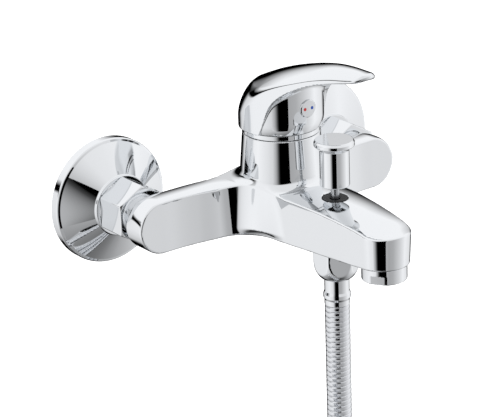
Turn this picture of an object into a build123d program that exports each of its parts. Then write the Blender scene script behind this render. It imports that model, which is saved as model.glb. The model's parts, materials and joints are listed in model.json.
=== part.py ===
"""Exposed single-lever bath and shower mixer, wall mounted. Millimetres.

The frame sits in the finished wall's plane, midway between the two inlets: +X to the right seen from
the front, -Y out of the wall towards the bather, +Z up.
"""

from build123d import *
from math import asin, cos, degrees, radians, sin, sqrt
import os

os.makedirs("parts", exist_ok=True)

# ---------------------------------------------------------------- driving dimensions
# wall side
inlet_spacing = 150.0         # between the two inlet axes, the standard of wall mixers
crank_offset = 8.0            # eccentricity of each S-union
wall_thread_r = 10.4775       # G 1/2 outside thread, into the wall
wall_thread_length = 18.0
crank_end_y = 6.0             # where the crank piece ends and the G 3/4 thread begins
union_thread_r = 13.22        # G 3/4 outside thread
union_end_y = 24.0            # free end of the S-union, from the wall
union_wall = 3.6
union_step = 0.8              # shoulder where the wall thread stops

# escutcheon, a turned and pressed cup that hides the hole in the wall
rose_r = 36.0
rose_rim = 6.0                # height of the cylindrical rim
rose_neck_r = 17.2
rose_neck_y = 15.4            # where the cone ends
rose_front_y = 16.9
rose_wall = 1.2

# union nut and the body's inlet tail
nut_across_flats = 30.0
nut_back_y = 17.2
nut_front_y = 37.0
seal_thickness = 2.0
tail_flange = 4.0
tail_r = 10.6
tail_bore_r = 8.0

# body casting
body_back_y = 41.0            # back face of the arms
arm_thickness = 14.2          # at the inlets
arm_z = -1.8                  # height of the arms' middle
arm_bow = 3.0                 # how far the front face swells towards the middle
arm_half_height = 15.0
tower_y = 66.0                # axis of the tower, from the wall
tower_foot_r = 23.2
tower_top_r = 21.8
tower_top_z = 39.6
spout_end_r = 14.8
spout_end_y = 151.6           # centre of the spout's round end
spout_root_r = 19.6           # half width of the spout where it leaves the tower
spout_root_y = 84.0
spout_blend_r = 20.0          # concave corner between arm and spout
spout_top_end_z = 4.6
spout_bottom_end_z = -13.6

# waterways
arm_bore_r = 5.0
arm_bore_y = 48.0
port_r = 3.2
port_spread = 8.0
mixed_port_y = 7.5            # in front of the tower axis
spout_bore_r = 6.0
spout_bore_z = -2.5

# cartridge
seat_z = 5.0                  # floor of the tower's bore
cartridge_r = 17.4
cartridge_gap = 0.2
base_seal_height = 1.2
base_thickness = 5.0
disc_thickness = 3.0
fixed_disc_r = 14.4
moving_disc_r = 10.6
carrier_height = 3.8
housing_wall = 1.6
housing_top_z = 30.0
housing_neck_r = 12.6
housing_neck_top_z = 38.0
sleeve_r = 9.8
sleeve_flange_r = 13.2
sleeve_flange = 3.5
sleeve_top_z = 41.5
pivot_z = 30.0
pivot_pin_r = 1.5
stem_side = 7.0
stem_ball_r = 2.8
stem_top_z = 66.0
ring_nut_r = 19.1
ring_nut_height = 7.0
thread_gap = 0.1
running_gap = 0.05
play = 0.3                    # between a moving part and what it passes

# cover ring with its dome
cover_gap = 0.3
cover_ring_height = 2.7
dome_wall = 1.2
dome_opening_r = 13.2

# lever
lever_gap = 0.4
lever_r = 24.3                # the wide part of its round base
lever_foot_r = 22.7
lever_foot_height = 5.5
lever_wall = 2.8
lever_boss_r = 9.5
lever_core_top_z = 57.0
lever_tip_r = 8.2
lever_reach = 67.5            # from the tower axis to the centre of the round tip
lever_front_wall = 23.0       # height of the round base at the front
# side view of the lever: share of its reach (0 at the tower axis), height over its lower rim
lever_back_rise = [(-0.353, 11.5), (-0.32, 17.7), (-0.15, 26.5)]
lever_top_line = [(0.074, 33.5), (0.296, 38.7), (0.533, 43.0), (0.77, 45.7), (1.007, 46.4)]
lever_tip_top = 45.2
lever_tip_under = 41.6
lever_under_line = [(0.919, 39.2), (0.681, 35.7), (0.484, 30.4), (0.326, 23.8)]
lever_throat = 0.2            # share of the reach where the underside meets the round base
tilt_max = 22.0               # degrees
cap_r = 5.3
cap_z = 57.5
cap_thickness = 2.6
mark_r = 0.95
mark_spread = 2.4
screw_r = 2.5
screw_length = 8.0

# diverter
diverter_from_tower = 45.5    # axis to axis, so that the lever's tip clears the knob
knob_bottom_z = 19.4
knob_top_z = 45.5
knob_r = 8.2
knob_cap_r = 11.15
knob_flat_r = 10.4
knob_cap_z = 40.0
diverter_stem_r = 2.4
diverter_lift = 6.0
chamber_r = 7.2
guide_height = 8.0
piston_r = 6.6
piston_height = 3.6
piston_seat_z = -9.0
spring_wire_r = 0.4

# shower outlet, check valve and hose
outlet_thread_r = 10.4775     # G 1/2 outside thread
outlet_end_z = -25.5
outlet_top_r = 8.6
valve_bore_r = 7.6
valve_travel = 2.2
hose_nut_top_z = -16.4
hose_nut_bottom_z = -34.2
hose_nut_across_flats = 22.6
hose_nut_corner_r = 12.5
hose_nut_end_r = 8.3
hose_nut_dome = 8.2           # height of the domed lower end
hose_washer_height = 1.6
ferrule_flange_r = 9.6
ferrule_flange = 2.4
ferrule_r = 6.95
ferrule_bead_r = 7.65
ferrule_end_z = -50.0
hose_bore_r = 4.4
hose_r = 7.0

# the rest of the hose, wound up and hanging below the mixer
coil_r = 70.0                 # middle of its turns
coil_z = -189.0               # height of its centre
coil_turn_pitch = 14.4
coil_turns = 2.53
end_lane_offset = 7.8
end_nut_length = 30.0
end_nut_r = 12.0
end_nut_hose_r = 8.4
end_thread_r = 9.32
end_thread_depth = 7.4
tie_width = 14.0
tie_thickness = 1.4
tie_gap = 0.9

# aerator
aerator_r = 12.4
aerator_bottom_z = -22.1
aerator_thread_r = 10.9
aerator_thread_length = 7.4
aerator_bore_r = 9.7
aerator_lip = 1.6
aerator_flat_depth = 0.9
aerator_flat_height = 5.0
aerator_flat_turn = 31.0      # degrees from +X to the flats' direction
washer_height = 2.0

# ---------------------------------------------------------------- sizes that follow
inlet_x = inlet_spacing / 2
diverter_y = tower_y + diverter_from_tower
body_front_y = body_back_y + arm_thickness
dome_r = sqrt((tower_top_r - 0.2) ** 2 + (tower_top_z + cover_gap + cover_ring_height - pivot_z) ** 2)
cavity_r = dome_r + lever_gap
lever_bottom_z = tower_top_z + cover_gap + cover_ring_height + lever_gap
tip_y = tower_y + lever_reach
base_z = seat_z + base_seal_height
fixed_disc_z = base_z + base_thickness
moving_disc_z = fixed_disc_z + disc_thickness + running_gap
carrier_z = moving_disc_z + disc_thickness
sleeve_flange_z = carrier_z + carrier_height + 0.2
ring_nut_z = housing_top_z + 0.1
arm_top_z = arm_z + arm_half_height
arm_bottom_z = arm_z - arm_half_height
spout_top_root_z = arm_top_z - 0.2
chamber_top_z = 12.0
guide_z = chamber_top_z - guide_height
piston_z = piston_seat_z + 0.1
coil_x = -coil_r
coil_width = coil_turn_pitch * 2 + end_lane_offset + 2 * hose_r


def save(builder, name):
    """Label a finished piece and write it as its own file."""
    builder.part.label = name
    export_step(builder.part, f"parts/{name}.step")
    print(name, round(builder.part.volume, 1))


def facing_out(x, y, z):
    """Plane whose normal points out of the wall, -Y, with its own X along the object's +X."""
    return Plane(origin=(x, y, z), x_dir=(1, 0, 0), z_dir=(0, -1, 0))


# ---------------------------------------------------------------- wall unions, escutcheons and nuts
def make_union(side, name):
    """Cast S-union: wall thread and inlet thread on two parallel axes."""
    x = side * inlet_x
    with BuildPart() as union:
        with BuildSketch(facing_out(x, wall_thread_length, 0)):
            with Locations((0, crank_offset)):
                Circle(wall_thread_r)
        extrude(amount=wall_thread_length)
        with BuildSketch(facing_out(x, 0, 0)):
            with Locations((0, crank_offset)):
                Circle(wall_thread_r + union_step)
            Circle(union_thread_r - union_step / 2)
            make_hull()
        extrude(amount=crank_end_y)
        with BuildSketch(facing_out(x, -crank_end_y, 0)):
            Circle(union_thread_r)
        extrude(amount=union_end_y - crank_end_y)
        with BuildSketch(facing_out(x, wall_thread_length, 0)):
            with Locations((0, crank_offset)):
                Circle(wall_thread_r - union_wall)
        extrude(amount=wall_thread_length + crank_end_y, mode=Mode.SUBTRACT)
        with BuildSketch(facing_out(x, -crank_end_y / 2, 0)):
            Circle(union_thread_r - union_wall)
        extrude(amount=union_end_y, mode=Mode.SUBTRACT)
    save(union, name)


def make_escutcheon(side, name):
    """Cup with a cylindrical rim, a straight cone and a short neck round the union thread."""
    slope = (rose_r - rose_neck_r) / (rose_neck_y - rose_rim)
    shift = rose_wall * sqrt(1 + slope**2)
    neck_bore = union_thread_r + play
    with BuildPart() as rose:
        with BuildSketch(Plane.XY.offset(0)):
            with BuildLine():
                Polyline(
                    (rose_r, 0),
                    (rose_r, -rose_rim),
                    (rose_neck_r, -rose_neck_y),
                    (rose_neck_r, -rose_front_y),
                    (neck_bore, -rose_front_y),
                    (neck_bore, -rose_front_y + 2 * rose_wall),
                    (rose_neck_r, -rose_front_y + 2 * rose_wall + 0.6),
                    (rose_r - rose_wall, -rose_rim + shift / slope - rose_wall / slope),
                    (rose_r - rose_wall, 0),
                    close=True,
                )
            make_face()
        revolve(axis=Axis.Y)
    rose.part.position = (side * inlet_x, 0, 0)
    save(rose, name)


def make_union_nut(side, name):
    """Hexagon union nut, caught behind the flange of the body's inlet tail."""
    x = side * inlet_x
    lip_y = union_end_y + seal_thickness + tail_flange + thread_gap
    with BuildPart() as nut:
        with BuildSketch(facing_out(x, -nut_back_y, 0)):
            RegularPolygon(nut_across_flats / 2, 6, major_radius=False, rotation=30)
        extrude(amount=nut_front_y - nut_back_y)
        with BuildSketch(facing_out(x, -nut_back_y, 0)):
            Circle(nut_across_flats / 2 * 1.09)
        extrude(amount=nut_front_y - nut_back_y, mode=Mode.INTERSECT)
        with BuildSketch(facing_out(x, -nut_back_y, 0)):
            Circle(union_thread_r + thread_gap)
        extrude(amount=lip_y - nut_back_y, mode=Mode.SUBTRACT)
        with BuildSketch(facing_out(x, -nut_back_y, 0)):
            Circle(tail_r + thread_gap)
        extrude(amount=nut_front_y - nut_back_y, mode=Mode.SUBTRACT)
    save(nut, name)


def make_union_seal(side, name):
    """Fibre washer with its inlet sieve, a thin plate with small holes."""
    x = side * inlet_x
    sieve = 0.5
    with BuildPart() as seal:
        with BuildSketch(facing_out(x, -union_end_y, 0)):
            Circle(union_thread_r - 0.8)
            Circle(tail_bore_r, mode=Mode.SUBTRACT)
        extrude(amount=seal_thickness)
        with BuildSketch(facing_out(x, -union_end_y - seal_thickness / 2, 0)):
            Circle(tail_bore_r + 0.4)
            with GridLocations(2.6, 2.6, 4, 4):
                Circle(0.8, mode=Mode.SUBTRACT)
        extrude(amount=sieve)
    save(seal, name)


for side, word in ((-1, "left"), (1, "right")):
    make_union(side, f"s_union_{word}")
    make_escutcheon(side, f"escutcheon_{word}")
    make_union_nut(side, f"union_nut_{word}")
    make_union_seal(side, f"union_seal_{word}")

# ---------------------------------------------------------------- body casting
tail_start_y = union_end_y + seal_thickness
spout_taper = (spout_root_r - spout_end_r) / (spout_end_y - spout_root_y)
arm_end_x = inlet_x + arm_half_height

with BuildPart() as body:
    # plan of arms and spout, seen from above
    with BuildSketch(Plane.XY.offset(arm_bottom_z)):
        with BuildLine():
            left_back = (-arm_end_x, -body_back_y)
            right_back = (arm_end_x, -body_back_y)
            right_front = (arm_end_x, -body_front_y)
            right_root = (spout_root_r + spout_blend_r * 1.05, -body_front_y - arm_bow)
            right_side = (spout_root_r, -spout_root_y)
            right_tip = (spout_end_r, -spout_end_y)
            left_tip = (-spout_end_r, -spout_end_y)
            left_side = (-spout_root_r, -spout_root_y)
            left_root = (-right_root[0], right_root[1])
            left_front = (-arm_end_x, -body_front_y)
            Polyline(left_front, left_back, right_back, right_front)
            Spline(right_front, right_root, tangents=[(-1, -0.02), (-1, -0.06)])
            Spline(left_root, left_front, tangents=[(-1, 0.06), (-1, 0.02)])
            Spline(right_root, right_side, tangents=[(-1, -0.06), (-spout_taper, -1)])
            Spline(left_side, left_root, tangents=[(-spout_taper, 1), (-1, 0.06)])
            Line(right_side, right_tip)
            ThreePointArc(right_tip, (0, -spout_end_y - spout_end_r), left_tip)
            Line(left_tip, left_side)
        make_face()
    extrude(amount=2 * arm_half_height)
    # round ends of the arms, seen from the front
    with BuildSketch(facing_out(0, 0, 0)):
        with Locations((0, arm_z)):
            SlotOverall(2 * arm_end_x, 2 * arm_half_height)
    extrude(amount=spout_end_y + 2 * spout_end_r, mode=Mode.INTERSECT)
    # sloping top and rising underside of the spout, seen from the side
    with BuildSketch(Plane.YZ.offset(-2 * spout_root_r)):
        with BuildLine():
            nose_y = -spout_end_y - spout_end_r
            top_root = (-spout_root_y, spout_top_root_z)
            top_end = (nose_y, spout_top_end_z)
            Spline(top_root, top_end, tangents=[(-1, -0.06), (-1, -0.18)])
            Polyline(
                top_end,
                (nose_y - 5, spout_top_end_z),
                (nose_y - 5, 2 * arm_half_height),
                (-spout_root_y, 2 * arm_half_height),
                top_root,
            )
        make_face()
    extrude(amount=4 * spout_root_r, mode=Mode.SUBTRACT)
    with BuildSketch(Plane.YZ.offset(-2 * spout_root_r)):
        with BuildLine():
            Polyline(
                (-spout_root_y, arm_bottom_z),
                (-spout_end_y + spout_end_r, spout_bottom_end_z),
                (nose_y - 5, spout_bottom_end_z),
                (nose_y - 5, -2 * arm_half_height),
                (-spout_root_y, -2 * arm_half_height),
                close=True,
            )
        make_face()
    extrude(amount=4 * spout_root_r, mode=Mode.SUBTRACT)
    # tower
    with BuildSketch(Plane.XY):
        with Locations((0, -tower_y)):
            Circle(tower_foot_r)
    extrude(
        amount=tower_top_z,
        taper=degrees(asin((tower_foot_r - tower_top_r) / tower_top_z)),
    )
    # inlet tails
    for x in (-inlet_x, inlet_x):
        with BuildSketch(facing_out(x, -tail_start_y, 0)):
            Circle(union_thread_r - 0.6)
        extrude(amount=tail_flange)
        with BuildSketch(facing_out(x, -tail_start_y, 0)):
            Circle(tail_r)
        extrude(amount=body_back_y - tail_start_y + 2)
    # inlets, arm bores and the rising ports to the cartridge
    for side in (-1, 1):
        with BuildSketch(facing_out(side * inlet_x, -tail_start_y, 0)):
            Circle(tail_bore_r)
        extrude(amount=arm_bore_y - tail_start_y, mode=Mode.SUBTRACT)
        with BuildSketch(Plane.YZ.offset(side * port_spread)):
            with Locations((-arm_bore_y, 0)):
                Circle(arm_bore_r)
        extrude(amount=side * (inlet_x - port_spread), mode=Mode.SUBTRACT)
        with BuildSketch(Plane.XY):
            with Locations((side * port_spread, -tower_y + port_spread)):
                Circle(port_r + 0.8)
        extrude(amount=seat_z, mode=Mode.SUBTRACT)
        with BuildSketch(Plane.YZ.offset(side * (port_spread - port_r))):
            with Locations((-tower_y + port_spread, 0)):
                Rectangle(2 * (tower_y - port_spread - arm_bore_y) + 2, 2 * port_r)
        extrude(amount=side * 2 * port_r, mode=Mode.SUBTRACT)
    # tower bore: cartridge seat, then the wider threaded mouth
    with BuildSketch(Plane.XY.offset(seat_z)):
        with Locations((0, -tower_y)):
            Circle(cartridge_r + cartridge_gap)
    extrude(amount=tower_top_z, mode=Mode.SUBTRACT)
    with BuildSketch(Plane.XY.offset(ring_nut_z - 1)):
        with Locations((0, -tower_y)):
            Circle(ring_nut_r + thread_gap)
    extrude(amount=tower_top_z, mode=Mode.SUBTRACT)
    # mixed water: down from the cartridge, forward through the diverter chamber to the outlet
    with BuildSketch(Plane.XY.offset(spout_bore_z)):
        with Locations((0, -tower_y - mixed_port_y)):
            Circle(port_r + 0.8)
    extrude(amount=seat_z - spout_bore_z, mode=Mode.SUBTRACT)
    with BuildSketch(facing_out(0, -tower_y - mixed_port_y, spout_bore_z)):
        Circle(spout_bore_r)
    extrude(amount=spout_end_y - tower_y - mixed_port_y, mode=Mode.SUBTRACT)
    with BuildSketch(Plane.XY.offset(arm_bottom_z)):
        with Locations((0, -diverter_y)):
            Circle(chamber_r)
    extrude(amount=2 * arm_half_height, mode=Mode.SUBTRACT)
    with BuildSketch(Plane.XY.offset(arm_bottom_z)):
        with Locations((0, -diverter_y)):
            Circle(outlet_top_r + thread_gap)
    extrude(amount=piston_seat_z - arm_bottom_z, mode=Mode.SUBTRACT)
    with BuildSketch(Plane.XY.offset(spout_bottom_end_z - 1)):
        with Locations((0, -spout_end_y)):
            Circle(aerator_thread_r + thread_gap)
    extrude(amount=1 + aerator_thread_length + washer_height, mode=Mode.SUBTRACT)
save(body, "body_casting")

# ---------------------------------------------------------------- cartridge
ports = [
    (-port_spread, -tower_y + port_spread),
    (port_spread, -tower_y + port_spread),
    (0, -tower_y - mixed_port_y),
]

with BuildPart() as base_seals:
    with BuildSketch(Plane.XY.offset(seat_z)):
        with Locations(*ports):
            Circle(port_r + 1.8)
            Circle(port_r + 0.2, mode=Mode.SUBTRACT)
    extrude(amount=base_seal_height)
save(base_seals, "cartridge_seals")

with BuildPart() as base:
    with BuildSketch(Plane.XY.offset(base_z)):
        with Locations((0, -tower_y)):
            Circle(cartridge_r)
        with Locations(*ports):
            Circle(port_r, mode=Mode.SUBTRACT)
    extrude(amount=base_thickness)
save(base, "cartridge_base")

with BuildPart() as fixed_disc:
    with BuildSketch(Plane.XY.offset(fixed_disc_z)):
        with Locations((0, -tower_y)):
            Circle(fixed_disc_r)
        with Locations(*ports):
            Circle(port_r, mode=Mode.SUBTRACT)
    extrude(amount=disc_thickness)
save(fixed_disc, "fixed_ceramic_disc")

with BuildPart() as moving_disc:
    with BuildSketch(Plane.XY.offset(moving_disc_z)):
        with Locations((0, -tower_y)):
            Circle(moving_disc_r)
    extrude(amount=disc_thickness)
    with BuildSketch(Plane.XY.offset(moving_disc_z)):
        with Locations((0, -tower_y - 3)):
            SlotOverall(12, 8, rotation=90)
    extrude(amount=disc_thickness / 2, mode=Mode.SUBTRACT)
save(moving_disc, "moving_ceramic_disc")

with BuildPart() as carrier:
    with BuildSketch(Plane.XY.offset(carrier_z)):
        with Locations((0, -tower_y)):
            Circle(moving_disc_r)
    extrude(amount=carrier_height)
    with BuildSketch(Plane.XY.offset(carrier_z + 0.6)):
        with Locations((0, -tower_y)):
            Circle(stem_ball_r + play)
    extrude(amount=carrier_height, mode=Mode.SUBTRACT)
save(carrier, "disc_carrier")

with BuildPart() as housing:
    with BuildSketch(Plane.XY.offset(fixed_disc_z)):
        with Locations((0, -tower_y)):
            Circle(cartridge_r)
    extrude(amount=housing_top_z - fixed_disc_z)
    with BuildSketch(Plane.XY.offset(housing_top_z)):
        with Locations((0, -tower_y)):
            Circle(housing_neck_r)
    extrude(amount=housing_neck_top_z - housing_top_z)
    with BuildSketch(Plane.XY.offset(fixed_disc_z)):
        with Locations((0, -tower_y)):
            Circle(cartridge_r - housing_wall)
    extrude(amount=sleeve_flange_z + sleeve_flange + 0.2 - fixed_disc_z, mode=Mode.SUBTRACT)
    with BuildSketch(Plane.XY.offset(fixed_disc_z)):
        with Locations((0, -tower_y)):
            Circle(sleeve_r + running_gap)
    extrude(amount=housing_neck_top_z, mode=Mode.SUBTRACT)
save(housing, "cartridge_housing")

stem_slot = stem_side / 2 + play
swing_back = (sleeve_top_z - pivot_z) * sin(radians(tilt_max)) + stem_slot / cos(radians(tilt_max))
swing_front = (pivot_z - sleeve_flange_z) * sin(radians(tilt_max)) + stem_slot / cos(radians(tilt_max))
with BuildPart() as sleeve:
    with BuildSketch(Plane.XY.offset(sleeve_flange_z)):
        with Locations((0, -tower_y)):
            Circle(sleeve_flange_r)
    extrude(amount=sleeve_flange)
    with BuildSketch(Plane.XY.offset(sleeve_flange_z)):
        with Locations((0, -tower_y)):
            Circle(sleeve_r)
    extrude(amount=sleeve_top_z - sleeve_flange_z)
    # slot in which the stem tilts, wider above and below the pin
    with BuildSketch(Plane.YZ.offset(-stem_slot)):
        with BuildLine():
            Polyline(
                (-tower_y - stem_slot, pivot_z),
                (-tower_y - stem_slot, sleeve_top_z + 1),
                (-tower_y + swing_back + 2 * play, sleeve_top_z + 1),
                (-tower_y + stem_slot + 1.2, pivot_z),
                (-tower_y + stem_slot, pivot_z),
                (-tower_y + stem_slot, sleeve_flange_z - 1),
                (-tower_y - swing_front - 2 * play, sleeve_flange_z - 1),
                (-tower_y - stem_slot - 1.2, pivot_z),
                close=True,
            )
        make_face()
    extrude(amount=2 * stem_slot, mode=Mode.SUBTRACT)
    with BuildSketch(Plane.YZ.offset(-sleeve_r)):
        with Locations((-tower_y, pivot_z)):
            Circle(pivot_pin_r + running_gap)
    extrude(amount=2 * sleeve_r, mode=Mode.SUBTRACT)
save(sleeve, "spindle_sleeve")

with BuildPart() as pin:
    with BuildSketch(Plane.YZ.offset(-sleeve_r + 0.4)):
        with Locations((-tower_y, pivot_z)):
            Circle(pivot_pin_r)
    extrude(amount=2 * (sleeve_r - 0.4))
save(pin, "pivot_pin")

ball_z = carrier_z + 0.6 + play + stem_ball_r * 0.9
carrier_travel = (pivot_z - ball_z) * radians(tilt_max)
with BuildPart() as stem:
    with BuildSketch(Plane.XY.offset(ball_z + 2.4)):
        with Locations((0, -tower_y)):
            Rectangle(stem_side, stem_side)
    extrude(amount=stem_top_z - ball_z - 2.4)
    with BuildSketch(Plane.XY.offset(ball_z)):
        with Locations((0, -tower_y)):
            Circle(stem_ball_r * 0.8)
    extrude(amount=3)
    with Locations((0, -tower_y, ball_z)):
        Sphere(stem_ball_r)
    with BuildSketch(Plane.YZ.offset(-stem_side)):
        with Locations((-tower_y, pivot_z)):
            Circle(pivot_pin_r + running_gap)
    extrude(amount=2 * stem_side, mode=Mode.SUBTRACT)
    fillet(stem.edges().filter_by(Axis.Z), radius=0.8)
save(stem, "lever_stem")

with BuildPart() as ring_nut:
    with BuildSketch(Plane.XY.offset(ring_nut_z)):
        with Locations((0, -tower_y)):
            Circle(ring_nut_r)
    extrude(amount=ring_nut_height)
    with BuildSketch(Plane.XY.offset(ring_nut_z + ring_nut_height / 2)):
        with Locations((0, -tower_y)):
            RegularPolygon(2 * (housing_neck_r + 1.8), 6, major_radius=False)
            RegularPolygon(housing_neck_r + 1.8, 6, major_radius=False, mode=Mode.SUBTRACT)
            Circle(ring_nut_r, mode=Mode.INTERSECT)
    with BuildSketch(Plane.XY.offset(ring_nut_z)):
        with Locations((0, -tower_y)):
            Circle(housing_neck_r + 2 * thread_gap)
    extrude(amount=ring_nut_height, mode=Mode.SUBTRACT)
save(ring_nut, "cartridge_ring_nut")

# ---------------------------------------------------------------- cover ring with dome
cover_z = tower_top_z + cover_gap
cover_top_z = cover_z + cover_ring_height
skirt_r = ring_nut_r - 0.3
dome_top_z = pivot_z + sqrt(dome_r**2 - dome_opening_r**2)
with BuildPart() as cover:
    with BuildSketch(Plane.XY.offset(cover_z)):
        with Locations((0, -tower_y)):
            Circle(tower_top_r)
    extrude(amount=cover_ring_height)
    with Locations((0, -tower_y, pivot_z)):
        Sphere(dome_r)
    with BuildSketch(Plane.XY.offset(cover_z)):
        with Locations((0, -tower_y)):
            Circle(tower_top_r)
    extrude(amount=dome_top_z - cover_z, mode=Mode.INTERSECT)
    with BuildSketch(Plane.XY.offset(ring_nut_z + ring_nut_height + 0.1)):
        with Locations((0, -tower_y)):
            Circle(skirt_r)
    extrude(amount=cover_z - ring_nut_z - ring_nut_height)
    with Locations((0, -tower_y, pivot_z)):
        Sphere(dome_r - dome_wall, mode=Mode.SUBTRACT)
    with BuildSketch(Plane.XY.offset(pivot_z)):
        with Locations((0, -tower_y)):
            Circle(skirt_r - 1.4)
    extrude(amount=cover_z - pivot_z + 1, mode=Mode.SUBTRACT)
    with BuildSketch(Plane.XY.offset(cover_z)):
        with Locations((0, -tower_y)):
            Circle(dome_opening_r)
    extrude(amount=dome_r, mode=Mode.SUBTRACT)
save(cover, "cover_dome")

with BuildPart() as cover_seal:
    with BuildSketch(Plane.XY.offset(tower_top_z)):
        with Locations((0, -tower_y)):
            Circle(tower_top_r - 0.5)
            Circle(skirt_r + 0.1, mode=Mode.SUBTRACT)
    extrude(amount=cover_gap)
save(cover_seal, "cover_seal")

# ---------------------------------------------------------------- lever
def lever_points(line):
    """Points of the lever's side view from shares of its reach and heights over its lower rim."""
    return [(-tower_y - share * lever_reach, lever_bottom_z + height) for share, height in line]


lever_back = (-tower_y + lever_r, lever_bottom_z + 6.5)
lever_tip_high = (-tip_y - lever_tip_r, lever_bottom_z + lever_tip_top)
lever_tip_low = (-tip_y - lever_tip_r, lever_bottom_z + lever_tip_under)
lever_low_front = (-tower_y - lever_throat * lever_reach, lever_bottom_z)
lever_low_back = (lever_back[0], lever_bottom_z)
with BuildPart() as lever:
    # plan of the whole handle: round base, straight sides, round tip
    with BuildSketch(Plane.XY.offset(lever_bottom_z)):
        with Locations((0, -tower_y)):
            Circle(lever_r)
        with Locations((0, -tip_y)):
            Circle(lever_tip_r)
        make_hull()
    extrude(amount=60)
    # side view: back rising from the foot, over the top, out to the tip and back underneath
    with BuildSketch(Plane.YZ.offset(-2 * lever_r)):
        with BuildLine():
            Spline(lever_back, *lever_points(lever_back_rise + lever_top_line), lever_tip_high)
            Line(lever_tip_high, lever_tip_low)
            Spline(lever_tip_low, *lever_points(lever_under_line), lever_low_front)
            Polyline(lever_low_front, lever_low_back, lever_back)
        make_face()
    extrude(amount=4 * lever_r, mode=Mode.INTERSECT)
    # front wall of the round base, under the handle
    with BuildSketch(Plane.XY.offset(lever_bottom_z)):
        with Locations((0, -tower_y)):
            Circle(lever_r)
    extrude(amount=lever_front_wall)
    # narrower foot
    with BuildSketch(Plane.XY.offset(lever_bottom_z)):
        with Locations((0, -tower_y)):
            Circle(2 * lever_r)
            Circle(lever_foot_r, mode=Mode.SUBTRACT)
    extrude(amount=lever_foot_height / 2, mode=Mode.SUBTRACT)
    with Locations((0, -tower_y, pivot_z)):
        Sphere(cavity_r, mode=Mode.SUBTRACT)
    # cored-out ring between the outer wall and the boss that holds the stem
    with BuildSketch(Plane.XY.offset(lever_bottom_z + 3)):
        with Locations((0, -tower_y)):
            Circle(lever_r - lever_wall)
            Circle(lever_boss_r, mode=Mode.SUBTRACT)
    extrude(amount=lever_core_top_z - lever_bottom_z - 3, mode=Mode.SUBTRACT)
    # square socket for the stem and the screw's thread, reached through the index cap's hole
    with BuildSketch(Plane.XY.offset(pivot_z)):
        with Locations((0, -tower_y)):
            Rectangle(stem_side + 0.1, stem_side + 0.1)
    extrude(amount=stem_top_z + 0.3 - pivot_z, mode=Mode.SUBTRACT)
    with BuildSketch(facing_out(0, -tower_y, cap_z)):
        Circle(screw_r + running_gap)
    extrude(amount=lever_r + 1, mode=Mode.SUBTRACT)
    with BuildSketch(facing_out(0, -tower_y - lever_r + cap_thickness, cap_z)):
        Circle(cap_r + running_gap)
    extrude(amount=cap_thickness + 1, mode=Mode.SUBTRACT)
save(lever, "lever")

screw_y = -tower_y - stem_side / 2 - 0.1
with BuildPart() as screw:
    with BuildSketch(facing_out(0, screw_y, cap_z)):
        Circle(screw_r)
    extrude(amount=screw_length)
    with BuildSketch(facing_out(0, screw_y - screw_length / 2, cap_z)):
        RegularPolygon(1.25, 6, major_radius=False)
    extrude(amount=screw_length / 2, mode=Mode.SUBTRACT)
save(screw, "grub_screw")

with BuildPart() as cap:
    with BuildSketch(facing_out(0, -tower_y - lever_r + cap_thickness, cap_z)):
        Circle(cap_r)
    extrude(amount=cap_thickness)
    with BuildSketch(facing_out(0, -tower_y - lever_r + 0.4, cap_z)):
        with Locations((-mark_spread, 0), (mark_spread, 0)):
            Circle(mark_r + running_gap)
    extrude(amount=1, mode=Mode.SUBTRACT)
save(cap, "index_cap")

for x, word in ((-mark_spread, "red"), (mark_spread, "blue")):
    with BuildPart() as mark:
        with BuildSketch(facing_out(x, -tower_y - lever_r + 0.4, cap_z)):
            Circle(mark_r)
        extrude(amount=0.4)
    save(mark, f"index_mark_{word}")

# ---------------------------------------------------------------- diverter
with BuildPart() as knob:
    with BuildSketch(Plane.XZ):
        with BuildLine():
            Polyline(
                (0, knob_bottom_z),
                (knob_r, knob_bottom_z),
                (knob_r, knob_cap_z),
                (knob_cap_r - 0.8, knob_cap_z + 2.6),
            )
            ThreePointArc(
                (knob_cap_r - 0.8, knob_cap_z + 2.6),
                (knob_cap_r, knob_cap_z + 4.4),
                (knob_flat_r, knob_top_z),
            )
            Polyline((knob_flat_r, knob_top_z), (0, knob_top_z), (0, knob_bottom_z))
        make_face()
    revolve(axis=Axis.Z)
    with BuildSketch(Plane.XY.offset(knob_bottom_z)):
        Circle(diverter_stem_r)
    extrude(amount=14, mode=Mode.SUBTRACT)
knob.part.position = (0, -diverter_y, 0)
save(knob, "diverter_knob")

with BuildPart() as diverter_stem:
    with BuildSketch(Plane.XY.offset(piston_z)):
        with Locations((0, -diverter_y)):
            Circle(diverter_stem_r)
    extrude(amount=knob_bottom_z + 14 - piston_z)
save(diverter_stem, "diverter_stem")

with BuildPart() as piston:
    with BuildSketch(Plane.XY.offset(piston_z)):
        with Locations((0, -diverter_y)):
            Circle(piston_r)
            Circle(diverter_stem_r, mode=Mode.SUBTRACT)
    extrude(amount=piston_height)
    with BuildSketch(Plane.XY.offset(piston_z + 1)):
        with Locations((0, -diverter_y)):
            Circle(piston_r + 1)
            Circle(piston_r - 1.2, mode=Mode.SUBTRACT)
    extrude(amount=1.6, mode=Mode.SUBTRACT)
save(piston, "diverter_piston")

with BuildPart() as piston_seal:
    with BuildSketch(Plane.XY.offset(piston_z + 1.05)):
        with Locations((0, -diverter_y)):
            Circle(chamber_r - running_gap)
            Circle(piston_r - 1.2, mode=Mode.SUBTRACT)
    extrude(amount=1.5)
save(piston_seal, "piston_seal")

with BuildPart() as guide:
    with BuildSketch(Plane.XY.offset(guide_z)):
        with Locations((0, -diverter_y)):
            Circle(chamber_r - running_gap)
            Circle(diverter_stem_r + running_gap, mode=Mode.SUBTRACT)
    extrude(amount=guide_height)
save(guide, "diverter_guide")


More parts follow.
